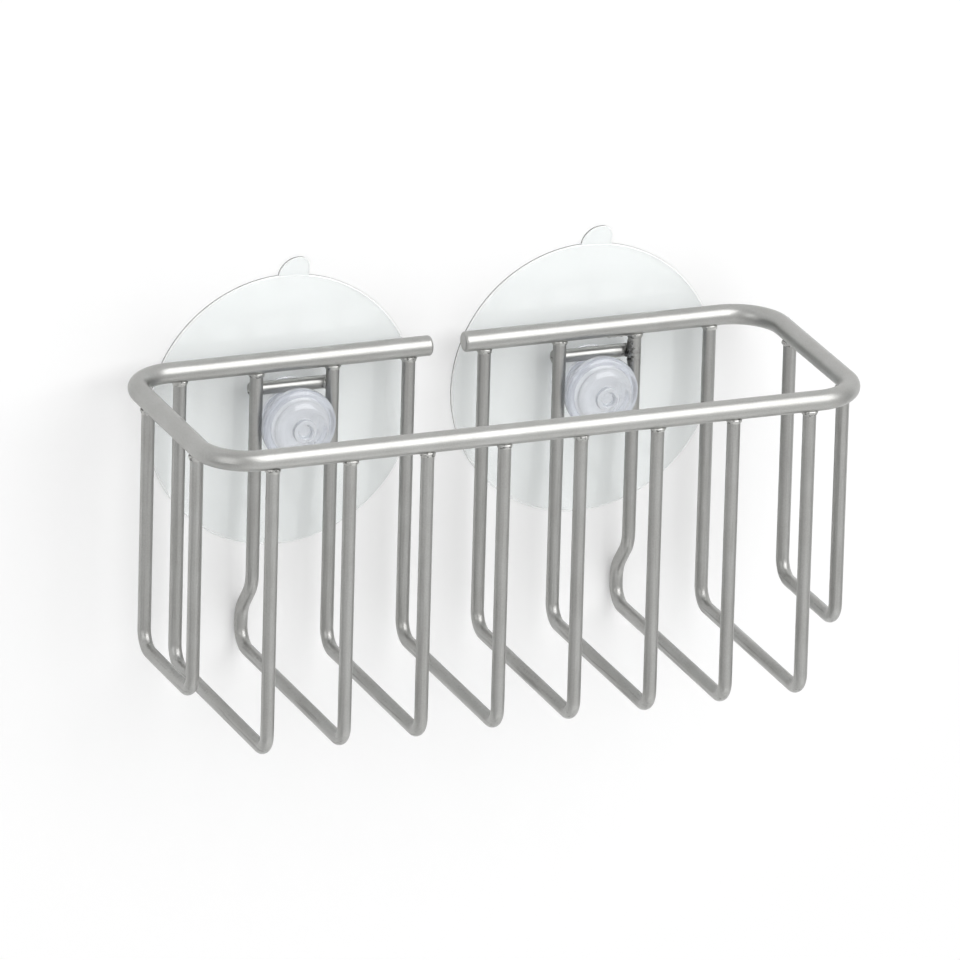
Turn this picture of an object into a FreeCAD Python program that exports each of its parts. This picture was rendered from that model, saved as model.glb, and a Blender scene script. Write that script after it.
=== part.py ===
"""Sponge holder: a bent and welded wire basket that hangs on a sink wall by two suction cups.

Millimetres. +X runs along the basket, +Y towards the wall and +Z up. The origin lies under the middle of
the overall box, on the surface that the basket wires stand on.
"""
import FreeCAD
import Part
import math
import os

Vector = FreeCAD.Vector

# Rim: one thick wire bent into a rounded rectangle, open at the back between its two free ends
rim_wire_d = 4.3
rim_length = 142.0  # between the centrelines of the end runs
rim_depth = 55.0  # between the centrelines of the front and back runs
rim_corner_r = 10.0  # bend radius of the centreline
rim_end_gap = 7.2  # between the free ends
rim_end_round = 0.6

# Basket wires: thin wires bent into a U, from the front run, under the basket, to the back run
basket_wire_count = 8
outer_wire_count = 1  # beyond each pair of legs that holds a cup
basket_wire_d = 2.8
basket_bend_r = 4.0  # bend radius of the centreline
corner_to_basket_wire = 2.2  # from the end of a rim bend to the first wire

# End wires: a shorter U hung from each end run
end_wire_lift = 10.0  # how far its bottom run lies above those of the basket wires
corner_to_end_front_leg = 1.5  # from the end of a rim bend to the leg
corner_to_end_back_leg = 4.5

# Hanger bars: a short wire across the backs of two legs, which rests on the neck of a cup
hanger_bar_d = 2.8
hanger_bar_gap = 2.9  # below the rim wire
hanger_bar_overhang = 0.65  # past the centreline of each leg
hanger_bar_sink = 0.3  # how far the weld melts the bar into a leg
hanger_bar_chamfer = 0.25

# Standoffs: the outer wire of each hanger pair kinks back to the wall below its cup
cup_to_standoff = 5.7  # from the lower edge of a cup to the corner where the kink starts
standoff_angle_deg = 40.0  # of the kink, from the vertical
standoff_bend_r = 7.0
standoff_foot_straight = 1.2  # between the kink and the bottom bend

# Welds: a bead round the top of each leg, and one where each hanger bar crosses a leg
rim_weld_h = 0.9  # below the rim wire
rim_weld_toe = 0.25  # thickness of the bead at its lower edge
rim_weld_top_share = 0.7  # how far the bead reaches up into the rim wire, of the wire's radius
rim_weld_spread_share = 0.8  # how far it spreads from the leg towards the width of the rim wire
bar_weld_d = 3.3

# Suction cups: a disc with a pull tab, and a stem whose head holds the cup to two legs
slot_play = 0.3  # between a cup and the wires that it is held by
neck_side_play = 1.7  # between the neck and each leg
head_grip = 1.05  # how far the head reaches in front of each leg
head_flange_t = 2.7
head_edge_round = 1.0
head_step_w = 2.15  # from the edge of the head in to its raised middle
head_step_h = 1.8
head_step_round = 1.4
nub_d = 5.0
nub_h = 1.0
nub_round = 0.4
dimple_d = 3.2
dimple_depth = 0.5
cup_height = 3.3  # from the wall to the front of the boss
cup_gap = 8.0  # between the discs of the two cups
cup_hollow = 1.4
cup_hollow_middle_share = 0.75  # of its depth, half way out to the sealing ring
boss_step = 2.7  # from the neck out to the edge of the boss
boss_h = 0.9
dome_bulge = 0.3
lip_t = 0.8
seal_w = 5.0  # flat ring that seals against the wall
tab_w = 6.8
tab_left_share = 0.66  # of the tab's width, rounded off at its left corner seen from the front
tab_flat_w = 0.2  # between its two rounded corners
tab_pass = 0.6  # between the tips of two tabs that point at each other
tab_turn_deg = 4.0  # clockwise from the top, seen from the front

# Sizes that follow from those above
rim_r = rim_wire_d / 2
leg_r = basket_wire_d / 2
bar_r = hanger_bar_d / 2
basket_wire_inset = rim_corner_r + corner_to_basket_wire
basket_wire_pitch = (rim_length - 2 * basket_wire_inset) / (basket_wire_count - 1)
first_wire_x = basket_wire_inset - rim_length / 2
basket_wire_xs = [first_wire_x + i * basket_wire_pitch for i in range(basket_wire_count)]

neck_r = basket_wire_pitch / 2 - leg_r - neck_side_play
head_r = basket_wire_pitch / 2 - leg_r + head_grip
boss_r = neck_r + boss_step
left_standoff = outer_wire_count
right_standoff = basket_wire_count - 1 - outer_wire_count
hanger_pairs = {"left": (left_standoff, left_standoff + 1), "right": (right_standoff - 1, right_standoff)}
standoff_wires = {left_standoff: "left", right_standoff: "right"}
cup_xs = {side: (basket_wire_xs[a] + basket_wire_xs[b]) / 2 for side, (a, b) in hanger_pairs.items()}
cup_r = (cup_xs["right"] - cup_xs["left"] - cup_gap) / 2
tab_tip_r = cup_r + (cup_gap - tab_pass) / 2

wall_gap = leg_r + hanger_bar_d - hanger_bar_sink + slot_play + cup_height
wall_y = (rim_r + rim_depth + wall_gap) / 2
back_y = wall_y - wall_gap
front_y = back_y - rim_depth
bar_y = back_y + leg_r - hanger_bar_sink + bar_r
end_front_leg_y = front_y + rim_corner_r + corner_to_end_front_leg
end_back_leg_y = back_y - rim_corner_r - corner_to_end_back_leg

standoff_reach = wall_gap - leg_r
standoff_angle = math.radians(standoff_angle_deg)
standoff_drop = standoff_reach / math.tan(standoff_angle)
standoff_foot = standoff_bend_r * math.tan(standoff_angle / 2) + standoff_foot_straight + basket_bend_r

bottom_z = leg_r
standoff_low_z = bottom_z + standoff_foot
standoff_high_z = standoff_low_z + standoff_drop
cup_z = standoff_high_z + cup_to_standoff + cup_r
bar_z = cup_z + neck_r + slot_play + bar_r
rim_z = bar_z + bar_r + hanger_bar_gap + rim_r


def rounded_path(points, radii):
    """Straight runs through the points, with a tangent arc of the given radius at each inner point."""
    edges = []
    start = points[0]
    for corner, radius, after in zip(points[1:-1], radii, points[2:]):
        to_start = (start - corner).normalize()
        to_after = (after - corner).normalize()
        half_turn = (math.pi - to_start.getAngle(to_after)) / 2
        arc_start = corner + to_start * (radius * math.tan(half_turn))
        arc_end = corner + to_after * (radius * math.tan(half_turn))
        edges.append(Part.LineSegment(start, arc_start).toShape())
        if radius > 0:
            inwards = (to_start + to_after).normalize()
            arc_middle = corner + inwards * (radius / math.cos(half_turn) - radius)
            edges.append(Part.Arc(arc_start, arc_middle, arc_end).toShape())
        start = arc_end
    edges.append(Part.LineSegment(start, points[-1]).toShape())
    return Part.Wire(edges)


def bent_wire(points, radii, wire_r):
    """A round wire along a rounded path."""
    circle = Part.makeCircle(wire_r, points[0], points[1] - points[0])
    return rounded_path(points, radii).makePipe(Part.Face(Part.Wire(circle)))


def make_rim():
    """The rim, from its right free end round the front to its left free end."""
    end_x = rim_end_gap / 2
    side_x = rim_length / 2
    plan = [(end_x, back_y), (side_x, back_y), (side_x, front_y), (-side_x, front_y), (-side_x, back_y),
            (-end_x, back_y)]
    points = [Vector(x, y, rim_z) for x, y in plan]
    wire = bent_wire(points, [rim_corner_r] * 4, rim_r)
    free_ends = [edge for edge in wire.Edges if abs(abs(edge.CenterOfMass.x) - end_x) < rim_end_round]
    return wire.makeFillet(rim_end_round, free_ends)


def make_basket_wire(x, rim):
    """A U from the front run to the back run, its ends coped to the rim."""
    side = [(front_y, rim_z), (front_y, bottom_z), (back_y, bottom_z), (back_y, rim_z)]
    points = [Vector(x, y, z) for y, z in side]
    return bent_wire(points, [basket_bend_r] * 2, leg_r).cut(rim)


def make_standoff_wire(x, rim):
    """A basket wire whose back leg kinks out to the wall above its bottom bend."""
    foot_y = back_y + standoff_reach
    side = [(front_y, rim_z), (front_y, bottom_z), (foot_y, bottom_z), (foot_y, standoff_low_z),
            (back_y, standoff_high_z), (back_y, rim_z)]
    points = [Vector(x, y, z) for y, z in side]
    radii = [basket_bend_r, basket_bend_r, standoff_bend_r, standoff_bend_r]
    return bent_wire(points, radii, leg_r).cut(rim)


def make_end_wire(x, rim):
    """A short U under an end run of the rim."""
    low_z = bottom_z + end_wire_lift
    side = [(end_front_leg_y, rim_z), (end_front_leg_y, low_z), (end_back_leg_y, low_z),
            (end_back_leg_y, rim_z)]
    points = [Vector(x, y, z) for y, z in side]
    return bent_wire(points, [basket_bend_r] * 2, leg_r).cut(rim)


def make_hanger_bar(side, legs):
    """A bar across the backs of two legs, coped to them."""
    left_x, right_x = [basket_wire_xs[i] for i in hanger_pairs[side]]
    length = right_x - left_x + 2 * hanger_bar_overhang
    start = Vector(left_x - hanger_bar_overhang, bar_y, bar_z)
    bar = Part.makeCylinder(bar_r, length, start, Vector(1, 0, 0))
    ends = [edge for edge in bar.Edges if edge.Closed]
    return bar.makeChamfer(hanger_bar_chamfer, ends).cut(legs)


def make_rim_weld(x, y, leg, rim):
    """The bead round the top of a leg, under the rim."""
    foot = Vector(x, y, rim_z - rim_r - rim_weld_h)
    top_r = leg_r + (rim_r - leg_r) * rim_weld_spread_share
    bead = Part.makeCone(leg_r + rim_weld_toe, top_r, rim_weld_h + rim_r * rim_weld_top_share, foot)
    return bead.cut(rim).cut(leg)


def make_bar_weld(x, leg, bar):
    """The bead in the angles where a hanger bar crosses a leg."""
    touch = Vector(x, back_y + leg_r - hanger_bar_sink / 2, bar_z)
    return Part.makeSphere(bar_weld_d / 2, touch).cut(leg).cut(bar)


def cup_point(side, radius, height):
    """A point of a cup's half section: a radius from its axis, and a height off the wall."""
    return Vector(cup_xs[side] + radius, wall_y - height, cup_z)


def turned(side, section):
    """The solid that a half section sweeps about the axis of a cup."""
    return Part.Face(section).revolve(cup_point(side, 0, 0), Vector(0, 1, 0), 360)


def make_cup_stem(side):
    """The neck and the mushroom head in front of the legs."""
    head_back = wall_gap + leg_r + slot_play
    flange_top = head_back + head_flange_t
    step_top = flange_top + head_step_h
    nub_top = step_top + nub_h
    step_r = head_r - head_step_w
    outline = [
        (0, cup_height, 0),
        (neck_r, cup_height, 0),
        (neck_r, head_back, 0),
        (head_r, head_back, head_edge_round),
        (head_r, flange_top, head_edge_round),
        (step_r, flange_top, 0),
        (step_r, step_top, head_step_round),
        (nub_d / 2, step_top, 0),
        (nub_d / 2, nub_top, nub_round),
        (dimple_d / 2, nub_top, 0),
        (0, nub_top - dimple_depth, 0),
    ]
    points = [cup_point(side, radius, height) for radius, height, _ in outline]
    profile = rounded_path(points, [corner for _, _, corner in outline[1:-1]])
    axis = Part.LineSegment(points[-1], points[0]).toShape()
    return turned(side, Part.Wire(profile.Edges + [axis]))


def make_cup_disc(side):
    """The boss, the thin domed disc with its sealing ring, and the pull tab."""
    lip_r = lip_t / 2
    seal_r = cup_r - seal_w
    boss_foot = cup_height - boss_h
    hollow_middle = cup_point(side, seal_r / 2, cup_hollow * cup_hollow_middle_share)
    dome_middle = cup_point(side, (boss_r + cup_r - lip_r) / 2, (boss_foot + lip_t) / 2 + dome_bulge)
    points = [cup_point(side, radius, height) for radius, height in [
        (0, cup_hollow), (seal_r, 0), (cup_r - lip_r, 0), (cup_r - lip_r, lip_t),
        (boss_r, boss_foot), (boss_r, cup_height), (0, cup_height)]]
    section = Part.Wire([
        Part.Arc(points[0], hollow_middle, points[1]).toShape(),
        Part.LineSegment(points[1], points[2]).toShape(),
        Part.Arc(points[2], cup_point(side, cup_r, lip_r), points[3]).toShape(),
        Part.Arc(points[3], dome_middle, points[4]).toShape(),
        Part.LineSegment(points[4], points[5]).toShape(),
        Part.LineSegment(points[5], points[6]).toShape(),
        Part.LineSegment(points[6], points[0]).toShape(),
    ])
    return turned(side, section).fuse(make_tab(side)).removeSplitter()


def make_tab(side):
    """A tongue with rounded corners in the plane of the lip, turned a little about the axis of its cup."""
    centre = cup_point(side, 0, 0)
    half_w = tab_w / 2
    root = cup_r - seal_w / 2
    left_round = tab_w * tab_left_share
    right_round = tab_w - left_round - tab_flat_w
    corners = [centre + Vector(x, 0, z) for x, z in [
        (-half_w, root), (-half_w, tab_tip_r), (half_w, tab_tip_r), (half_w, root)]]
    outline = rounded_path(corners, [left_round, right_round])
    base = Part.LineSegment(corners[-1], corners[0]).toShape()
    tab = Part.Face(Part.Wire(outline.Edges + [base])).extrude(Vector(0, -lip_t, 0))
    return tab.rotate(centre, Vector(0, 1, 0), tab_turn_deg)


def make_nodes():
    """Every node of the part by its name."""
    rim = make_rim()
    nodes = {"rim": rim}
    legs = []
    plain_count = 0
    for i, x in enumerate(basket_wire_xs):
        if i in standoff_wires:
            wire = make_standoff_wire(x, rim)
            nodes[f"{standoff_wires[i]}_standoff_wire"] = wire
        else:
            plain_count += 1
            wire = make_basket_wire(x, rim)
            nodes[f"basket_wire_{plain_count}"] = wire
        legs.append(wire)
    rim_welds = []
    for x, leg in zip(basket_wire_xs, legs):
        rim_welds += [make_rim_weld(x, y, leg, rim) for y in (front_y, back_y)]
    for side, x in (("left", -rim_length / 2), ("right", rim_length / 2)):
        wire = make_end_wire(x, rim)
        nodes[f"{side}_end_wire"] = wire
        rim_welds += [make_rim_weld(x, y, wire, rim) for y in (end_front_leg_y, end_back_leg_y)]
    nodes["rim_welds"] = Part.makeCompound(rim_welds)
    bar_welds = []
    for side, pair in hanger_pairs.items():
        bar = make_hanger_bar(side, [legs[i] for i in pair])
        nodes[f"{side}_hanger_bar"] = bar
        bar_welds += [make_bar_weld(basket_wire_xs[i], legs[i], bar) for i in pair]
        nodes[f"{side}_cup_stem"] = make_cup_stem(side)
        nodes[f"{side}_cup_disc"] = make_cup_disc(side)
    nodes["hanger_bar_welds"] = Part.makeCompound(bar_welds)
    return nodes


os.makedirs("parts", exist_ok=True)
for name, shape in make_nodes().items():
    shape.exportStep(f"parts/{name}.step")
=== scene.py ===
"""Sponge holder: the looks of a wire basket that hangs on a wall by two clear suction cups.

Metres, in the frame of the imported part: +X along the basket, +Y towards the wall and +Z up.
"""
import math

import bpy
from mathutils import Matrix, Vector


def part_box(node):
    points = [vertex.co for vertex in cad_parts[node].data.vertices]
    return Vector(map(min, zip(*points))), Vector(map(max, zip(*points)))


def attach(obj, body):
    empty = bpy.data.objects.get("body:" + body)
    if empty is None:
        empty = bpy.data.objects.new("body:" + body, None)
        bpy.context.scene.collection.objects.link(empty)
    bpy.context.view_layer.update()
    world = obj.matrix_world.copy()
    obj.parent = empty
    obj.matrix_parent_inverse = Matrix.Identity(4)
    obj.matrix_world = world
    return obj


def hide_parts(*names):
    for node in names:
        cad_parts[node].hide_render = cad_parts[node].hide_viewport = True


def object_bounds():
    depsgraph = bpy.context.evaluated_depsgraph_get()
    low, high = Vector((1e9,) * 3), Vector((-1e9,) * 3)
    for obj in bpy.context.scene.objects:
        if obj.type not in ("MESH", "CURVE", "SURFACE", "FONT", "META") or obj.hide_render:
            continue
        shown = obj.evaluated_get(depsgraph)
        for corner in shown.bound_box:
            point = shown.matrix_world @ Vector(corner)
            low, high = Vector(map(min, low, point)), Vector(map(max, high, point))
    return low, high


bl_info = {
    "name": "Sponge Holder",
    "version": (1, 0, 0),
    "blender": (4, 5, 0),
    "location": "View3D > Sidebar > Sponge Holder",
    "description": "Satin wire, weld beads and clear suction cups round the packed frame of a sponge holder",
    "category": "Object",
}

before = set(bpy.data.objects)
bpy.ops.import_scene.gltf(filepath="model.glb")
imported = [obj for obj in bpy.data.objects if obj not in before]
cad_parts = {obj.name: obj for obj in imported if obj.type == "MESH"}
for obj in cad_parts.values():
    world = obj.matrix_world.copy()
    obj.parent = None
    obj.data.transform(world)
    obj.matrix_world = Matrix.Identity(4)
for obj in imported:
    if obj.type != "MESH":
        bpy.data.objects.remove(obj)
CAD_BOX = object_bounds()
MM = 0.001
NEAR = 0.005 * MM  # points this close count as one
SIDES = ("left", "right")

# Places read from the frame
RIM_LOW, RIM_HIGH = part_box("rim")
RIM_CENTRE = (RIM_LOW + RIM_HIGH) / 2
RIM_R = (RIM_HIGH.z - RIM_LOW.z) / 2
FRONT_Y = RIM_LOW.y + RIM_R
BACK_Y = RIM_HIGH.y - RIM_R
WIRE_NODES = [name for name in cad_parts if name.startswith("basket_wire") or "standoff" in name]
END_NODES = [f"{side}_end_wire" for side in SIDES]
BAR_NODES = [f"{side}_hanger_bar" for side in SIDES]
LEG_LOW, LEG_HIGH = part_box("basket_wire_1")
LEG_R = (LEG_HIGH.x - LEG_LOW.x) / 2
WALL_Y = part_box("left_cup_disc")[1].y


def middle_of(node):
    """The middle of a node's box."""
    low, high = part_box(node)
    return (low + high) / 2


class WireFinish(bpy.types.PropertyGroup):
    """Plating of the rim, the basket wires and the hanger bars"""

    colour: bpy.props.FloatVectorProperty(
        name="Colour", description="Colour of the plating", subtype="COLOR", size=3,
        min=0, max=1, default=(0.430, 0.432, 0.422))
    dull_colour: bpy.props.FloatVectorProperty(
        name="Dull colour", description="Colour where the plating is dull", subtype="COLOR", size=3,
        min=0, max=1, default=(0.360, 0.358, 0.345))
    # Also painted shade: the lines are strongest along the level runs and darken the bottom runs
    line_and_shade_colour: bpy.props.FloatVectorProperty(
        name="Line colour", description="Colour of the lines drawn along the thin wires",
        subtype="COLOR", size=3, min=0, max=1, default=(0.200, 0.198, 0.188))
    # Colour that the metal darkens to round the welds of the hanger bars
    weld_dark_colour: bpy.props.FloatVectorProperty(
        name="Dark near welds", description="Colour of the metal beside a weld", subtype="COLOR", size=3,
        min=0, max=1, default=(0.060, 0.060, 0.056))
    roughness: bpy.props.FloatProperty(
        name="Roughness", description="Mean roughness of the satin", subtype="FACTOR",
        min=0, max=1, default=0.36)
    bend_rise: bpy.props.FloatProperty(
        name="Bend rise", description="From the middle of a bottom run up to the middle of its bends",
        subtype="DISTANCE", unit="LENGTH", min=0, default=1.2 * MM)
    grain: bpy.props.FloatProperty(
        name="Grain", description="Size of the satin grain", subtype="DISTANCE", unit="LENGTH",
        min=0.00005, default=0.25 * MM)


class WeldSizes(bpy.types.PropertyGroup):
    """Weld beads under the rim and at the hanger bars"""

    height: bpy.props.FloatProperty(
        name="Height", description="Reach of a bead below the rim", subtype="DISTANCE", unit="LENGTH",
        default=0.75 * MM)
    toe: bpy.props.FloatProperty(
        name="Toe", description="Thickness of a bead at its lower edge", subtype="DISTANCE", unit="LENGTH",
        default=0.08 * MM)
    spread: bpy.props.FloatProperty(
        name="Spread", description="Thickness of a bead under the rim", subtype="DISTANCE", unit="LENGTH",
        default=0.36 * MM)
    lump: bpy.props.FloatProperty(
        name="Lumps", description="How far a bead swells and sinks", subtype="DISTANCE", unit="LENGTH",
        default=0.16 * MM)
    bar_bead: bpy.props.FloatProperty(
        name="Bar bead", description="Diameter of a bead at a hanger bar", subtype="DISTANCE", unit="LENGTH",
        default=2.3 * MM)
    colour: bpy.props.FloatVectorProperty(
        name="Colour", description="Colour of the weld metal", subtype="COLOR", size=3,
        min=0, max=1, default=(0.47, 0.47, 0.455))


class CupSizes(bpy.types.PropertyGroup):
    """Suction cups. Heights are off the wall"""

    neck_radius: bpy.props.FloatProperty(
        name="Neck radius", description="Radius of the neck between the legs", subtype="DISTANCE",
        unit="LENGTH", default=5.3 * MM)
    boss_radius: bpy.props.FloatProperty(
        name="Boss radius", description="Radius of the boss behind the legs", subtype="DISTANCE",
        unit="LENGTH", default=8.0 * MM)
    boss_height: bpy.props.FloatProperty(
        name="Boss height", description="How far the boss stands off the dome", subtype="DISTANCE",
        unit="LENGTH", default=0.9 * MM)
    lip: bpy.props.FloatProperty(
        name="Lip", description="Thickness of the edge of the disc and of the tab", subtype="DISTANCE",
        unit="LENGTH", default=0.5 * MM)
    seal: bpy.props.FloatProperty(
        name="Seal", description="Width of the flat sealing ring", subtype="DISTANCE", unit="LENGTH",
        default=5.0 * MM)
    hollow: bpy.props.FloatProperty(
        name="Hollow", description="Depth of the hollow behind the disc", subtype="DISTANCE", unit="LENGTH",
        default=1.4 * MM)
    bulge: bpy.props.FloatProperty(
        name="Bulge", description="How far the dome swells above a cone", subtype="DISTANCE", unit="LENGTH",
        default=0.3 * MM)
    neck_length: bpy.props.FloatProperty(
        name="Neck length", description="From the boss to the back of the head", subtype="DISTANCE",
        unit="LENGTH", default=5.9 * MM)
    flange: bpy.props.FloatProperty(
        name="Flange", description="Thickness of the head's flange", subtype="DISTANCE", unit="LENGTH",
        default=2.7 * MM)
    step_width: bpy.props.FloatProperty(
        name="Step width", description="From the edge of the head in to its raised middle",
        subtype="DISTANCE", unit="LENGTH", default=2.15 * MM)
    step_height: bpy.props.FloatProperty(
        name="Step height", description="Height of the raised middle", subtype="DISTANCE", unit="LENGTH",
        default=1.8 * MM)
    nub_radius: bpy.props.FloatProperty(
        name="Nub radius", description="Radius of the moulding nub on the head", subtype="DISTANCE",
        unit="LENGTH", default=2.5 * MM)
    nub_height: bpy.props.FloatProperty(
        name="Nub height", description="Height of the moulding nub", subtype="DISTANCE", unit="LENGTH",
        default=1.0 * MM)
    dimple_radius: bpy.props.FloatProperty(
        name="Dimple radius", description="Radius of the dimple in the nub", subtype="DISTANCE",
        unit="LENGTH", default=1.6 * MM)
    dimple_depth: bpy.props.FloatProperty(
        name="Dimple depth", description="Depth of the dimple in the nub", subtype="DISTANCE",
        unit="LENGTH", default=0.8 * MM)
    tab_width: bpy.props.FloatProperty(
        name="Tab width", description="Width of the pull tab", subtype="DISTANCE", unit="LENGTH",
        default=6.8 * MM)
    tab_reach: bpy.props.FloatProperty(
        name="Tab reach", description="How far the tab stands out past the disc", subtype="DISTANCE",
        unit="LENGTH", default=3.7 * MM)
    tab_left_round: bpy.props.FloatProperty(
        name="Left rounding", description="Radius of the tab's left corner, seen from the front",
        subtype="DISTANCE", unit="LENGTH", default=4.49 * MM)
    tab_right_round: bpy.props.FloatProperty(
        name="Right rounding", description="Radius of the tab's right corner, seen from the front",
        subtype="DISTANCE", unit="LENGTH", default=2.11 * MM)
    tab_turn: bpy.props.FloatProperty(
        name="Tab turn", description="Lean of the tab, clockwise from the top seen from the front",
        subtype="ANGLE", unit="ROTATION", default=math.radians(4.0))
    film_colour: bpy.props.FloatVectorProperty(
        name="Disc colour", description="Tint of the thin disc", subtype="COLOR", size=3,
        min=0, max=1, default=(0.962, 0.980, 0.977))
    edge_colour: bpy.props.FloatVectorProperty(
        name="Edge colour", description="Colour of the light that gathers in the lip",
        subtype="COLOR", size=3, min=0, max=1, default=(0.97, 0.98, 0.98))
    head_colour: bpy.props.FloatVectorProperty(
        name="Head colour", description="Tint of the thick head and neck", subtype="COLOR", size=3,
        min=0, max=1, default=(0.80, 0.825, 0.885))


class StageLook(bpy.types.PropertyGroup):
    """Wall, floor, lamps and camera"""

    wall_colour: bpy.props.FloatVectorProperty(
        name="Wall colour", description="Colour of the wall and the floor", subtype="COLOR", size=3,
        min=0, max=1, default=(0.93, 0.93, 0.93))
    floor_drop: bpy.props.FloatProperty(
        name="Floor drop", description="How far the basket hangs above the floor", subtype="DISTANCE",
        unit="LENGTH", default=0.6)
    key_strength: bpy.props.FloatProperty(
        name="Key light", description="Brightness of the high soft box, where 1 is white", default=2.6)
    fill_strength: bpy.props.FloatProperty(
        name="Fill light", description="Brightness of the low soft box, where 1 is white", default=0.40)
    side_strength: bpy.props.FloatProperty(
        name="Side light", description="Brightness of the soft box on the left, where 1 is white",
        default=0.85)
    room_strength: bpy.props.FloatProperty(
        name="Room light", description="Light from the room, where 1 is white", default=0.46)
    room_seen: bpy.props.FloatProperty(
        name="Room in gloss", description="Brightness of the room where metal shows it", default=0.76)


class Link:
    """An output socket of a material. Sums on it add Math nodes."""

    def __init__(self, tree, socket):
        self.tree = tree
        self.socket = socket

    def maths(self, operation, first, second):
        """A Math node of two numbers or links."""
        return self.tree.node("ShaderNodeMath", {"operation": operation}, {0: first, 1: second})

    def __add__(self, other):
        return self.maths("ADD", self, other)

    __radd__ = __add__

    def __sub__(self, other):
        return self.maths("SUBTRACT", self, other)

    def __rsub__(self, other):
        return self.maths("SUBTRACT", other, self)

    def __mul__(self, other):
        return self.maths("MULTIPLY", self, other)

    __rmul__ = __mul__

    def at_most(self, other):
        return self.maths("MINIMUM", self, other)

    def at_least(self, other):
        return self.maths("MAXIMUM", self, other)


class Tree:
    """The nodes of one material or of the world."""

    def __init__(self, owner):
        owner.use_nodes = True
        self.nodes = owner.node_tree.nodes
        self.links = owner.node_tree.links
        self.nodes.clear()

    def node(self, kind, settings=None, sockets=None, output=0):
        """Adds a node, with its settings first and then the values or links of its sockets."""
        node = self.nodes.new(kind)
        for name, value in (settings or {}).items():
            setattr(node, name, value)
        for name, value in (sockets or {}).items():
            socket = node.inputs[name]
            if isinstance(value, Link):
                self.links.new(value.socket, socket)
            elif socket.type == "RGBA":
                socket.default_value = (*value, 1.0)
            else:
                socket.default_value = value
        return Link(self, node.outputs[output]) if node.outputs else None

    def places(self):
        """Where a point lies in the part's frame, as a vector and as its three values."""
        place = self.node("ShaderNodeTexCoord", output="Object")
        parts = [self.node("ShaderNodeSeparateXYZ", sockets={0: place}, output=i) for i in range(3)]
        return place, parts

    def noise(self, place, size, detail):
        """Smooth noise from 0 to 1 whose lumps are about the given size."""
        sockets = {"Vector": place, "Scale": 1 / size, "Detail": detail}
        return self.node("ShaderNodeTexNoise", sockets=sockets)

    def lines(self, place, size, axis):
        """Noise drawn out along an axis of the part."""
        along = 0.03  # how fast the noise changes along a line, where across it is 1
        rates = [along if i == axis else 1.0 for i in range(3)]
        drawn = self.node("ShaderNodeVectorMath", {"operation": "MULTIPLY"}, {0: place, 1: rates})
        return self.noise(drawn, size, detail=2.0)

    def fade(self, value, low, high):
        """0 below low, 1 above high and smooth between them. It runs down where low is above high."""
        settings = {"interpolation_type": "SMOOTHSTEP"}
        return self.node("ShaderNodeMapRange", settings, {"Value": value, "From Min": low, "From Max": high})

    def mix(self, share, first, second):
        """A colour from first, at share 0, to second, at share 1."""
        settings = {"data_type": "RGBA"}
        return self.node("ShaderNodeMix", settings, {0: share, 6: first, 7: second}, output=2)

    def distance(self, place, point):
        """How far a place is from a point."""
        settings = {"operation": "DISTANCE"}
        return self.node("ShaderNodeVectorMath", settings, {0: place, 1: point}, output="Value")

    def rays(self, *kinds):
        """For each kind of ray, 1 where such a ray meets the surface and 0 elsewhere."""
        return [self.node("ShaderNodeLightPath", output=f"Is {kind} Ray") for kind in kinds]


def rim_weld_places():
    """Where each leg meets the underside of the rim: the point on the axis of the rim wire."""
    places = []
    for node in WIRE_NODES:
        x = middle_of(node).x
        places += [Vector((x, y, RIM_CENTRE.z)) for y in (FRONT_Y, BACK_Y)]
    for node in END_NODES:
        low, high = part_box(node)
        x = (low.x + high.x) / 2
        places += [Vector((x, y, RIM_CENTRE.z)) for y in (low.y + LEG_R, high.y - LEG_R)]
    return places


def bar_weld_places():
    """Where each hanger bar crosses a leg."""
    places = []
    for node in BAR_NODES:
        low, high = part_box(node)
        legs = [middle_of(wire).x for wire in WIRE_NODES if low.x < middle_of(wire).x < high.x]
        places += [Vector((x, BACK_Y + LEG_R, (low.z + high.z) / 2)) for x in sorted(legs)]
    return places


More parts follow.
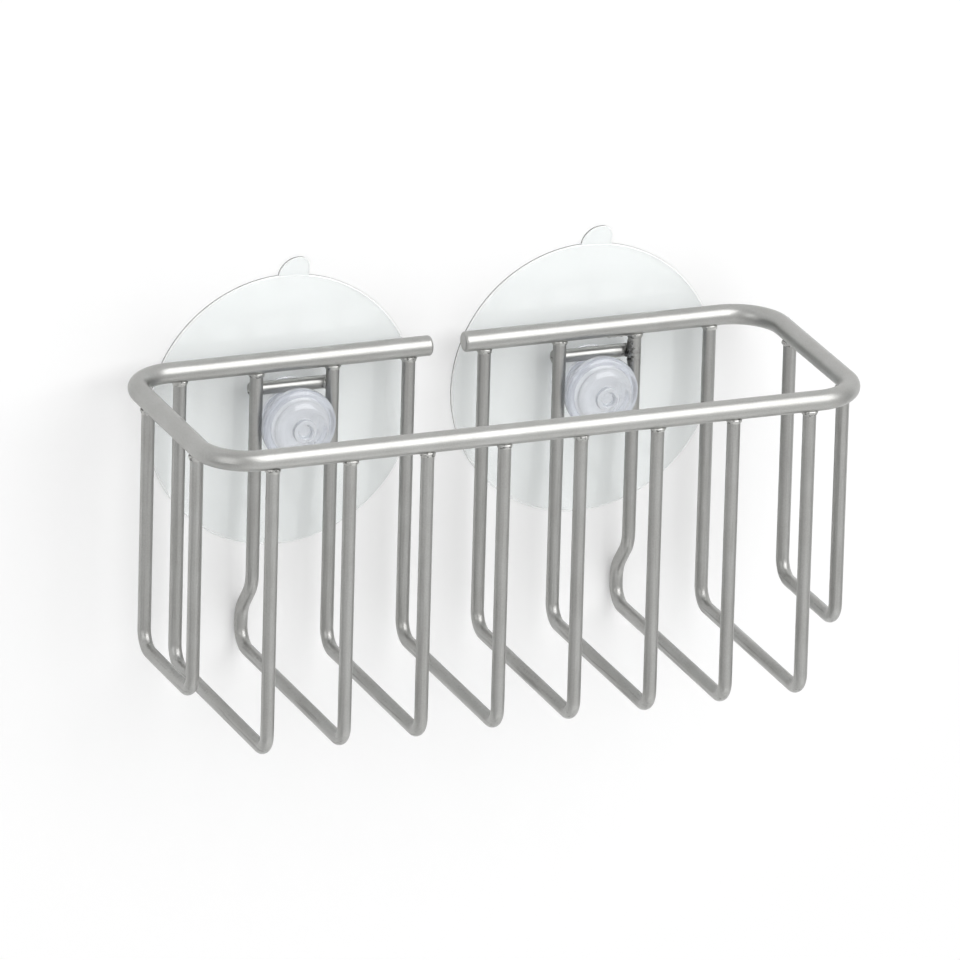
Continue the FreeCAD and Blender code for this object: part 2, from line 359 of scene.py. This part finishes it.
def satin_wire_material(name, look, bend_z=None):
    """Satin plated wire: a fine grain, dull patches, and darker metal beside the welds of the bars.

    Where a bend is given, lines run along the wire: level below the bend, and upright above it. The level
    lines are much stronger, partly drawn lines and partly painted shade that darkens the bottom runs.
    """
    patch_size, cloud_size, line_size = 9 * MM, 0.7 * MM, 0.5 * MM
    grain_depth = 0.04 * MM
    bar_weld_darkening = ((0.25, 2.2 * MM), (0.45, 2.6 * MM), (0.2, 2.2 * MM), (0.9, 4.2 * MM))  # strength and reach
    darkest_within = 0.9 * MM
    # Lines on the level runs are stronger: partly drawn lines, partly painted shade on the bottom runs
    level_line_and_shade_strength, upright_strength = 0.62, 0.18
    changeover = 1.0 * MM  # how softly the lines turn or end
    rough_by_grain, rough_by_patch, rough_by_weld_dark = 0.12, 0.08, 0.25
    material = bpy.data.materials.new(name)
    tree = Tree(material)
    place, (_, y, z) = tree.places()
    grain = tree.noise(place, look.grain, detail=2.0)
    patches = tree.noise(place, patch_size, detail=4.0)
    clouds = tree.fade(tree.noise(place, cloud_size, detail=4.0), 0.38, 0.62)
    weld_dark = 0.0
    # Darker round each weld of the hanger bars, most at the last one
    for weld, (strength, reach) in zip(bar_weld_places(), bar_weld_darkening):
        near = tree.fade(tree.distance(place, weld), reach, darkest_within)
        weld_dark = near * strength + weld_dark
    weld_dark = (weld_dark * clouds).at_most(1.0)
    dull = (tree.fade(patches, 0.3, 0.7) + tree.fade(grain, 0.3, 0.7)) * 0.5
    plating = tree.mix(dull, look.colour, look.dull_colour)
    if bend_z is not None:
        level, upright = [tree.lines(place, line_size, axis) for axis in (1, 2)]
        above = tree.fade(z, bend_z - changeover, bend_z + changeover)
        lines = tree.fade(level + above * (upright - level), 0.50, 0.66)
        straight = tree.fade(y, BACK_Y + LEG_R + changeover, BACK_Y + LEG_R)
        line_strength = level_line_and_shade_strength - above * (level_line_and_shade_strength - upright_strength)
        plating = tree.mix(lines * straight * line_strength, plating, look.line_and_shade_colour)
    colour = tree.mix(weld_dark, plating, look.weld_dark_colour)
    unevenness = (grain - 0.5) * rough_by_grain + (patches - 0.5) * rough_by_patch
    roughness = look.roughness + unevenness + weld_dark * rough_by_weld_dark
    bump = tree.node("ShaderNodeBump", sockets={"Strength": 0.06, "Distance": grain_depth, "Height": grain})
    shader = tree.node("ShaderNodeBsdfPrincipled", sockets={
        "Base Color": colour, "Metallic": 1.0, "Roughness": roughness, "Normal": bump})
    tree.node("ShaderNodeOutputMaterial", sockets={"Surface": shader})
    return material


def weld_material(look, wire):
    """Bright lumpy weld metal with dark pits, darker round the last weld."""
    lump_size, lump_depth, pit_size = 0.5 * MM, 0.12 * MM, 0.7 * MM
    last_weld_dark_reach, last_weld_dark_core = 6.5 * MM, 3.0 * MM  # from the last weld
    dark_by_pit, dark_by_last_weld, dark_by_last_weld_lump = 0.7, 0.35, 0.6
    least_rough, rough_by_lump, rough_by_dark = 0.22, 0.15, 0.35
    material = bpy.data.materials.new("weld_metal")
    tree = Tree(material)
    place, _ = tree.places()
    lumps = tree.noise(place, lump_size, detail=3.0)
    pits = tree.fade(tree.noise(place, pit_size, detail=4.0), 0.52, 0.64)
    # Darker round the last weld of the hanger bars
    last_weld_dark = tree.fade(tree.distance(place, bar_weld_places()[-1]), last_weld_dark_reach, last_weld_dark_core)
    dark = (pits * dark_by_pit + last_weld_dark * (dark_by_last_weld + lumps * dark_by_last_weld_lump)).at_most(1.0)
    colour = tree.mix(dark, look.colour, wire.weld_dark_colour)
    roughness = least_rough + lumps * rough_by_lump + dark * rough_by_dark
    bump = tree.node("ShaderNodeBump", sockets={"Strength": 0.35, "Distance": lump_depth, "Height": lumps})
    shader = tree.node("ShaderNodeBsdfPrincipled", sockets={
        "Base Color": colour, "Metallic": 1.0, "Roughness": roughness, "Normal": bump})
    tree.node("ShaderNodeOutputMaterial", sockets={"Surface": shader})
    return material


def vinyl_material(name, colour, clear, roughness, gloss):
    """Soft vinyl that lets lamps through. How clear it is runs from 0, milky, to 1, like glass."""
    ripple_size, ripple_depth, rough_by_ripple = 9 * MM, 0.4 * MM, 0.04
    lamp_tint = (0.962, 0.968, 0.968)  # of lamp light at each surface that it passes
    material = bpy.data.materials.new(name)
    tree = Tree(material)
    place, _ = tree.places()
    ripple = tree.noise(place, ripple_size, detail=1.0)
    bump = tree.node("ShaderNodeBump", sockets={"Strength": 0.08, "Distance": ripple_depth, "Height": ripple})
    vinyl = tree.node("ShaderNodeBsdfPrincipled", sockets={
        "Base Color": colour, "Roughness": roughness + ripple * rough_by_ripple, "Transmission Weight": clear,
        "IOR": 1.5, "Coat Weight": gloss, "Coat Roughness": 0.04, "Normal": bump})
    [lamp_ray] = tree.rays("Shadow")
    let_through = tree.node("ShaderNodeBsdfTransparent", sockets={"Color": lamp_tint})
    shader = tree.node("ShaderNodeMixShader", sockets={0: lamp_ray, 1: vinyl, 2: let_through})
    tree.node("ShaderNodeOutputMaterial", sockets={"Surface": shader})
    return material


def stage_material(look):
    """A white surface that shows from its front alone. It keeps soft shadows near the part."""
    shaded_within, white_beyond = 0.08, 0.17  # from the middle of the rim
    plain_share = 0.18  # of plain white in what shows near the part
    material = bpy.data.materials.new("stage_white")
    tree = Tree(material)
    place, _ = tree.places()
    far = tree.fade(tree.distance(place, RIM_CENTRE), shaded_within, white_beyond)
    camera, glossy, through = tree.rays("Camera", "Glossy", "Transmission")
    seen = (camera + glossy + through).at_most(1.0)
    plain = seen * plain_share + camera * far * (1 - plain_share)
    matt = tree.node("ShaderNodeBsdfDiffuse", sockets={"Color": look.wall_colour})
    white = tree.node("ShaderNodeEmission", sockets={"Color": (1.0, 1.0, 1.0), "Strength": 1.0})
    front = tree.node("ShaderNodeMixShader", sockets={0: plain, 1: matt, 2: white})
    behind = tree.node("ShaderNodeNewGeometry", output="Backfacing")
    nothing = tree.node("ShaderNodeBsdfTransparent")
    shader = tree.node("ShaderNodeMixShader", sockets={0: behind, 1: front, 2: nothing})
    tree.node("ShaderNodeOutputMaterial", sockets={"Surface": shader})
    return material


def begin(name):
    """Takes up the primitive that was just added, in edit mode, with all of it selected."""
    piece = bpy.context.active_object
    piece.name = name
    piece.data.name = name
    bpy.ops.object.transform_apply(location=True, rotation=True, scale=True)
    bpy.ops.object.mode_set(mode="EDIT")
    bpy.ops.mesh.select_all(action="SELECT")
    return piece


def pick(piece, test):
    """Selects the vertices that pass a test of their place, and the edges between them."""
    bpy.ops.mesh.select_mode(type="VERT")
    bpy.ops.mesh.select_all(action="DESELECT")
    bpy.ops.object.mode_set(mode="OBJECT")
    for vertex in piece.data.vertices:
        vertex.select = test(vertex.co)
    bpy.ops.object.mode_set(mode="EDIT")


def end():
    """Leaves edit mode with the faces pointing outwards."""
    bpy.ops.mesh.select_all(action="SELECT")
    bpy.ops.mesh.remove_doubles(threshold=0.001 * MM)
    bpy.ops.mesh.normals_make_consistent(inside=False)
    bpy.ops.object.mode_set(mode="OBJECT")


def add_modifier(piece, kind, **settings):
    """Adds a modifier and applies it."""
    bpy.context.view_layer.objects.active = piece
    bpy.ops.object.modifier_add(type=kind)
    modifier = piece.modifiers[-1]
    for name, value in settings.items():
        setattr(modifier, name, value)
    bpy.ops.object.modifier_apply(modifier=modifier.name)


def join(pieces, name):
    """Joins pieces into the first of them."""
    bpy.ops.object.select_all(action="DESELECT")
    for piece in pieces:
        piece.select_set(True)
    bpy.context.view_layer.objects.active = pieces[0]
    bpy.ops.object.join()
    pieces[0].name = name
    pieces[0].data.name = name
    return pieces[0]


def copied(piece, name, offset):
    """A copy of a piece with a mesh of its own, moved by an offset."""
    bpy.ops.object.select_all(action="DESELECT")
    piece.select_set(True)
    bpy.context.view_layer.objects.active = piece
    bpy.ops.object.duplicate(linked=False)
    copy = bpy.context.active_object
    copy.name = name
    copy.data.name = name
    bpy.ops.transform.translate(value=offset)
    bpy.ops.object.transform_apply(location=True, rotation=True, scale=True)
    return copy


def dress(piece, materials, body, slot, *nodes):
    """Gives a finished piece its materials and its body, and hides the nodes that it stands for."""
    piece.data.materials.clear()
    for material in materials:
        piece.data.materials.append(material)
    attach(piece, body)
    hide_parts(*nodes)


def rim_bead(place, sizes, seed):
    """A lumpy collar of weld metal from the top of a leg up into the rim."""
    bpy.ops.object.select_all(action="DESELECT")
    foot = place - Vector((0, 0, RIM_R + sizes.height))
    toe_r = LEG_R + sizes.toe
    profile = ((0.25, 0.35), (0.35, 0.75), (0.40, 1.0), (0.8, 1.0))  # shares of its height and of its spread
    bpy.ops.mesh.primitive_circle_add(vertices=18, radius=toe_r, fill_type="NGON", location=foot)
    piece = begin("rim_bead")
    radius = toe_r
    for rise_share, spread_share in profile:
        rise = Vector((0, 0, sizes.height * rise_share))
        bpy.ops.mesh.extrude_region_move(TRANSFORM_OT_translate={"value": rise})
        wider = toe_r + (sizes.spread - sizes.toe) * spread_share
        scale = wider / radius
        bpy.ops.transform.resize(value=(scale, scale, 1), center_override=place)
        radius = wider
    bpy.ops.mesh.select_all(action="SELECT")
    bpy.ops.transform.vertex_random(offset=sizes.lump, uniform=0.0, normal=1.0, seed=seed)
    end()
    add_modifier(piece, "SUBSURF", levels=2, render_levels=2)
    return piece


def lump(place, radius, stretch, rough, seed):
    """An uneven drop of weld metal."""
    bpy.ops.object.select_all(action="DESELECT")
    bpy.ops.mesh.primitive_ico_sphere_add(subdivisions=3, radius=radius, location=place)
    piece = begin("lump")
    bpy.ops.transform.resize(value=stretch, center_override=place)
    bpy.ops.transform.vertex_random(offset=rough, uniform=0.0, normal=1.0, seed=seed)
    end()
    add_modifier(piece, "SUBSURF", levels=1, render_levels=1)
    return piece


def bar_beads(sizes):
    """A drop in each corner between a leg and a hanger bar. The one inside the pair of legs is larger."""
    outer_share = 0.45  # of the size of the inner drop
    aside, forward = 0.8 * LEG_R, 0.1 * LEG_R
    stretch = (0.6, 0.65, 1.0)
    first_seed, seed_step = 100, 10
    pieces = []
    for i, place in enumerate(bar_weld_places()):
        inward = 1 if i % 2 == 0 else -1
        for side, size_share in ((inward, 1.0), (-inward, outer_share)):
            corner = place + Vector((side * aside, -forward, 0))
            radius = sizes.bar_bead / 2 * size_share
            seed = first_seed + seed_step * i + side
            pieces.append(lump(corner, radius, stretch, sizes.lump * size_share, seed))
    return pieces


def burr(sizes):
    """Rough crust up the leg at the last hanger bar, and spatter under the rim beside that leg."""
    weld = bar_weld_places()[-1]
    turn_step, size_step = 0.618, 0.754  # uneven steps from one lump to the next
    crust_count, crust_low, crust_length = 12, -2.2 * MM, 5.4 * MM
    crust_out, crust_turn, crust_turn_range = 0.55 * LEG_R, math.radians(150), math.radians(90)
    crust_radius, crust_radius_range = 0.72 * MM, 0.24 * MM
    crust_stretch, crust_rough, crust_seed = (0.9, 0.9, 1.4), 1.1 * sizes.lump, 300
    spatter_count, spatter_start, spatter_pitch = 9, 0.2 * MM, 0.55 * MM
    spatter_forward, spatter_below = 0.35 * RIM_R, 0.92 * RIM_R  # on the underside of the rim
    spatter_radius, spatter_radius_range = 0.16 * MM, 0.16 * MM
    spatter_stretch, spatter_rough, spatter_seed = (1.6, 1.0, 1.0), 0.6 * sizes.lump, 400
    pieces = []
    for i in range(crust_count):
        turn = crust_turn + crust_turn_range * (i * turn_step % 1)
        x = weld.x + crust_out * math.cos(turn)
        y = BACK_Y + crust_out * math.sin(turn)
        z = weld.z + crust_low + crust_length * i / crust_count
        radius = crust_radius + crust_radius_range * (i * size_step % 1)
        pieces.append(lump(Vector((x, y, z)), radius, crust_stretch, crust_rough, crust_seed + i))
    for i in range(spatter_count):
        x = weld.x - LEG_R - spatter_start - spatter_pitch * i
        y = BACK_Y - spatter_forward
        z = RIM_CENTRE.z - spatter_below
        radius = spatter_radius + spatter_radius_range * (i * turn_step % 1)
        pieces.append(lump(Vector((x, y, z)), radius, spatter_stretch, spatter_rough, spatter_seed + i))
    return pieces


def cup_outline(side, cup):
    """The half section of a cup as (radius, height off the wall, rounding) from the hollow to the head."""
    disc_low, disc_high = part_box(f"{side}_cup_disc")
    stem_low, stem_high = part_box(f"{side}_cup_stem")
    cup_r = (disc_high.x - disc_low.x) / 2
    head_r = (stem_high.x - stem_low.x) / 2
    boss_top = WALL_Y - stem_high.y
    lip_r = cup_r - cup.lip / 2
    seal_r = cup_r - cup.seal
    boss_foot = boss_top - cup.boss_height
    head_back = boss_top + cup.neck_length
    flange_top = head_back + cup.flange
    step_r = head_r - cup.step_width
    step_top = flange_top + cup.step_height
    nub_top = step_top + cup.nub_height
    dimple_floor = nub_top - cup.dimple_depth
    step_slope = 0.4 * MM  # how far the step leans each way
    dimple_floor_r = 0.8 * cup.dimple_radius
    back_round, lip_round = 0.1 * cup.lip, 0.7 * cup.lip
    boss_round, neck_root_round, neck_top_round = 0.3 * MM, 0.4 * MM, 0.5 * MM
    flange_back_round, flange_round = 1.0 * MM, 1.1 * MM
    step_root_round, step_round = 0.7 * MM, 1.2 * MM
    nub_root_round, nub_round, dimple_round = 0.35 * MM, 0.4 * MM, 0.2 * MM
    steps = 10
    hollow = [(seal_r * i / steps, cup.hollow * (1 - (i / steps) ** 2), 0) for i in range(steps + 1)]
    lip = [(cup_r, 0, back_round), (cup_r, cup.lip, lip_round)]
    dome = []
    for i in range(1, steps):
        share = i / steps
        height = cup.lip + (boss_foot - cup.lip) * share + 4 * cup.bulge * share * (1 - share)
        dome.append((lip_r + (cup.boss_radius - lip_r) * share, height, 0))
    stem = [
        (cup.boss_radius, boss_foot, boss_round),
        (cup.boss_radius, boss_top, boss_round),
        (cup.neck_radius, boss_top, neck_root_round),
        (cup.neck_radius, head_back, neck_top_round),
        (head_r, head_back, flange_back_round),
        (head_r, flange_top, flange_round),
        (step_r + step_slope, flange_top, step_root_round),
        (step_r - step_slope, step_top, step_round),
        (cup.nub_radius, step_top, nub_root_round),
        (cup.nub_radius, nub_top, nub_round),
        (cup.dimple_radius, nub_top, dimple_round),
        (dimple_floor_r, dimple_floor, dimple_round),
        (0, dimple_floor, 0),
    ]
    return hollow + lip + dome + stem


def drawn_line(name, points, roundings, segments):
    """A line through points, with each rounding at its own point. It stays in edit mode."""
    bpy.ops.object.select_all(action="DESELECT")
    bpy.ops.mesh.primitive_plane_add(size=MM, location=points[0])
    piece = begin(name)
    bpy.ops.mesh.merge(type="CENTER")
    for here, there in zip(points, points[1:]):
        bpy.ops.mesh.extrude_region_move(TRANSFORM_OT_translate={"value": there - here})
    for point, rounding in zip(points, roundings):
        if rounding:
            pick(piece, lambda co: (co - point).length < NEAR)
            bpy.ops.mesh.bevel(offset=rounding, segments=segments, affect="VERTICES")
    bpy.ops.mesh.select_all(action="SELECT")
    return piece


def spun_cup(side, cup):
    """The disc, neck and head of a cup: its half section spun about its axis."""
    centre = middle_of(f"{side}_cup_stem")
    outline = cup_outline(side, cup)
    points = [Vector((centre.x + radius, WALL_Y - height, centre.z)) for radius, height, _ in outline]
    roundings = [rounding for _, _, rounding in outline]
    piece = drawn_line(f"{side}_suction_cup", points, roundings, segments=5)
    bpy.ops.mesh.spin(steps=128, angle=math.tau, center=centre, axis=(0, 1, 0))
    end()
    return piece


def pull_tab(side, cup):
    """The tab: a tongue whose left corner is rounder than its right one."""
    centre = middle_of(f"{side}_cup_stem")
    disc_low, disc_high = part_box(f"{side}_cup_disc")
    cup_r = (disc_high.x - disc_low.x) / 2
    half_w = cup.tab_width / 2
    root = cup_r - cup.seal / 2
    tip = cup_r + cup.tab_reach
    edge_round = 0.3 * cup.lip
    corners = ((-half_w, root), (-half_w, tip), (half_w, tip), (half_w, root))
    points = [Vector((centre.x + x, WALL_Y, centre.z + z)) for x, z in corners]
    roundings = [0, cup.tab_left_round, cup.tab_right_round, 0]
    piece = drawn_line(f"{side}_tab", points, roundings, segments=16)
    bpy.ops.mesh.edge_face_add()
    bpy.ops.mesh.extrude_region_move(TRANSFORM_OT_translate={"value": (0, -cup.lip, 0)})
    pick(piece, lambda co: co.y < WALL_Y - cup.lip / 2)
    bpy.ops.mesh.bevel(offset=edge_round, segments=3, affect="EDGES")
    bpy.ops.mesh.select_all(action="SELECT")
    # Without a window this operator turns the other way
    bpy.ops.transform.rotate(
        value=-cup.tab_turn, orient_axis="Y", orient_type="GLOBAL", center_override=centre)
    end()
    return piece


def suction_cup(side, cup):
    """A whole cup, with its tab."""
    smooth_below = math.radians(40)
    tab = pull_tab(side, cup)
    piece = spun_cup(side, cup)
    add_modifier(piece, "BOOLEAN", operation="UNION", solver="EXACT", object=tab)
    bpy.data.objects.remove(tab)
    bpy.ops.object.select_all(action="DESELECT")
    piece.select_set(True)
    bpy.ops.object.shade_smooth_by_angle(angle=smooth_below)
    add_modifier(piece, "WEIGHTED_NORMAL", keep_sharp=True)
    return piece


def paint_cup(piece, side, cup):
    """Gives the head and neck of a cup its third material and the slope of its lip the second, a milky white
    that paints the bright line of light gathering in the lip.
    """
    axis = middle_of(f"{side}_cup_stem")
    neck_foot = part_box(f"{side}_cup_stem")[1].y
    lip_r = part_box(f"{side}_cup_disc")[1].x - axis.x - cup.lip
    facing_front, facing_out = -0.97, -0.2  # y of a face's normal
    for face in piece.data.polygons:
        radius = math.hypot(face.center.x - axis.x, face.center.z - axis.z)
        height = WALL_Y - face.center.y
        sloping = facing_front < face.normal.y < facing_out
        if face.center.y < neck_foot - NEAR:
            face.material_index = 2
        elif radius > lip_r and height > cup.lip / 2 and sloping:
            face.material_index = 1


class HOLDER_OT_finish_wires(bpy.types.Operator):
    """Plates the rim, the basket wires, the end wires and the hanger bars"""

    bl_idname = "holder.finish_wires"
    bl_label = "Finish Wires"

    def execute(self, context):
        look = context.scene.holder_wires
        kinds = (
            ("thick", ["rim", *BAR_NODES], False),
            ("basket", WIRE_NODES, True),
            ("end", END_NODES, True),
        )
        for kind, names, bent in kinds:
            bend_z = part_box(names[0])[0].z + LEG_R + look.bend_rise if bent else None
            material = satin_wire_material(f"satin_{kind}_wire", look, bend_z)
            for name in names:
                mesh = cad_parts[name].data
                mesh.materials.clear()
                mesh.materials.append(material)
        return {"FINISHED"}


class HOLDER_OT_weld_beads(bpy.types.Operator):
    """Makes the weld beads under the rim and at the hanger bars"""

    bl_idname = "holder.weld_beads"
    bl_label = "Weld Beads"

    def execute(self, context):
        sizes = context.scene.holder_welds
        material = weld_material(sizes, context.scene.holder_wires)
        rim_beads = [rim_bead(place, sizes, seed) for seed, place in enumerate(rim_weld_places())]
        piece = join(rim_beads, "rim_weld_beads")
        bpy.ops.object.shade_smooth()
        dress(piece, [material], "basket", "weld_metal", "rim_welds")
        piece = join(bar_beads(sizes) + burr(sizes), "bar_weld_beads")
        bpy.ops.object.shade_smooth()
        dress(piece, [material], "basket", "weld_metal", "hanger_bar_welds")
        return {"FINISHED"}


class HOLDER_OT_suction_cups(bpy.types.Operator):
    """Makes the two clear suction cups with their pull tabs"""

    bl_idname = "holder.suction_cups"
    bl_label = "Suction Cups"

    def execute(self, context):
        cup = context.scene.holder_cups
        film = vinyl_material("clear_vinyl_disc", cup.film_colour, clear=1.0, roughness=0.10, gloss=0.0)
        # A milky white lip: a painted highlight, the light that gathers in the lip
        painted_lip_light = vinyl_material("clear_vinyl_painted_lip_light", cup.edge_colour, clear=0.3, roughness=0.20, gloss=0.5)
        head = vinyl_material("clear_vinyl_head", cup.head_colour, clear=0.74, roughness=0.20, gloss=1.0)
        left = suction_cup("left", cup)
        across = middle_of("right_cup_stem") - middle_of("left_cup_stem")
        right = copied(left, "right_suction_cup", across)
        for side, piece in (("left", left), ("right", right)):
            nodes = (f"{side}_cup_stem", f"{side}_cup_disc")
            dress(piece, [film, painted_lip_light, head], f"{side}_disc", "clear_vinyl", *nodes)
            paint_cup(piece, side, cup)
        return {"FINISHED"}


def photo_camera():
    """A long lens at the photograph's viewing angle, from in front, above and a little to the left."""
    yaw, pitch, roll = 0.3778, 0.3509, 0.0270
    eye = Vector((-3.0265 * MM, -3.0, -19.2209 * MM))  # from the middle of the rim, in the turned frame
    turn = Matrix.Rotation(roll, 3, "Y") @ Matrix.Rotation(pitch, 3, "X") @ Matrix.Rotation(yaw, 3, "Z")
    back = turn.transposed()
    bpy.ops.object.camera_add(location=RIM_CENTRE + back @ eye)
    camera = bpy.context.active_object
    camera.rotation_euler = (back @ Matrix.Rotation(math.pi / 2, 3, "X")).to_euler()
    camera.data.lens = 547.2
    camera.data.sensor_width = 36.0
    bpy.context.scene.camera = camera


def soft_box(name, direction, strength, distance, width, depth):
    """A rectangular lamp that faces the middle of the part. Its strength is 1 where it looks white."""
    centre = (CAD_BOX[0] + CAD_BOX[1]) / 2
    towards = Vector(direction).normalized()
    bpy.ops.object.light_add(type="AREA", location=centre + towards * distance)
    lamp = bpy.context.active_object
    lamp.name = name
    lamp.rotation_euler = towards.to_track_quat("Z", "Y").to_euler()
    lamp.data.shape = "RECTANGLE"
    lamp.data.size = width
    lamp.data.size_y = depth
    lamp.data.energy = strength * math.pi * width * depth
    lamp.visible_camera = False


def wall_and_floor(look):
    """A white wall that the cups hold on to, and a floor below the basket."""
    width = 6.0
    wall_gap = 0.05 * MM
    floor_z = CAD_BOX[0].z - look.floor_drop
    bpy.ops.object.select_all(action="DESELECT")
    bpy.ops.mesh.primitive_plane_add(size=width, location=(0, 0, floor_z))
    floor = bpy.context.active_object
    floor.name = "stage_floor"
    wall_place = (0, WALL_Y + wall_gap, floor_z + width / 2)
    bpy.ops.mesh.primitive_plane_add(size=width, location=wall_place, rotation=(math.pi / 2, 0, 0))
    wall = bpy.context.active_object
    wall.name = "stage_wall"
    material = stage_material(look)
    for surface in (floor, wall):
        surface.select_set(True)
        surface.data.materials.append(material)
    bpy.ops.object.transform_apply(location=True, rotation=True, scale=True)


def soft_room(look):
    """Even light from all round, which the camera sees as white."""
    world = bpy.data.worlds.new("soft_room")
    bpy.context.scene.world = world
    tree = Tree(world)
    camera, glossy, through = tree.rays("Camera", "Glossy", "Transmission")
    mirrored = (glossy + through).at_most(1.0)
    lit = look.room_strength + mirrored * (look.room_seen - look.room_strength)
    strength = lit.at_least(camera)
    room = tree.node("ShaderNodeBackground", sockets={"Color": (1.0, 1.0, 1.0), "Strength": strength})
    tree.node("ShaderNodeOutputWorld", sockets={"Surface": room})


class HOLDER_OT_stage(bpy.types.Operator):
    """Sets the white wall, the floor, the lamps and the camera"""

    bl_idname = "holder.stage"
    bl_label = "Stage"

    def execute(self, context):
        look = context.scene.holder_stage
        wall_and_floor(look)
        soft_room(look)
        soft_box("key_box", (0.346, -0.708, 0.615), look.key_strength, distance=0.9, width=0.80, depth=0.94)
        soft_box("fill_box", (0.32, -0.786, -0.53), look.fill_strength, distance=0.5, width=1.00, depth=0.80)
        soft_box("side_box", (-0.80, -0.55, 0.20), look.side_strength, distance=0.6, width=0.35, depth=0.60)
        photo_camera()
        context.scene.view_settings.view_transform = "Standard"
        return {"FINISHED"}


class HOLDER_PT_sidebar(bpy.types.Panel):
    """The pieces of the sponge holder, and the sizes and colours that they take"""

    bl_idname = "HOLDER_PT_sidebar"
    bl_label = "Sponge Holder"
    bl_space_type = "VIEW_3D"
    bl_region_type = "UI"
    bl_category = "Sponge Holder"

    def draw(self, context):
        for operator, group in (
            (HOLDER_OT_finish_wires, context.scene.holder_wires),
            (HOLDER_OT_weld_beads, context.scene.holder_welds),
            (HOLDER_OT_suction_cups, context.scene.holder_cups),
            (HOLDER_OT_stage, context.scene.holder_stage),
        ):
            box = self.layout.box()
            box.operator(operator.bl_idname)
            for name in group.__annotations__:
                box.prop(group, name)


GROUPS = {
    "holder_wires": WireFinish,
    "holder_welds": WeldSizes,
    "holder_cups": CupSizes,
    "holder_stage": StageLook,
}
OPERATORS = (HOLDER_OT_finish_wires, HOLDER_OT_weld_beads, HOLDER_OT_suction_cups, HOLDER_OT_stage)


def register():
    for group in GROUPS.values():
        bpy.utils.register_class(group)
    for name, group in GROUPS.items():
        setattr(bpy.types.Scene, name, bpy.props.PointerProperty(type=group))
    for operator in OPERATORS:
        bpy.utils.register_class(operator)
    bpy.utils.register_class(HOLDER_PT_sidebar)


def unregister():
    bpy.utils.unregister_class(HOLDER_PT_sidebar)
    for operator in reversed(OPERATORS):
        bpy.utils.unregister_class(operator)
    for name in GROUPS:
        delattr(bpy.types.Scene, name)
    for group in reversed(list(GROUPS.values())):
        bpy.utils.unregister_class(group)


def main():
    register()
    bpy.ops.holder.finish_wires()
    bpy.ops.holder.weld_beads()
    bpy.ops.holder.suction_cups()
    bpy.ops.holder.stage()


if __name__ == "__main__":
    main()
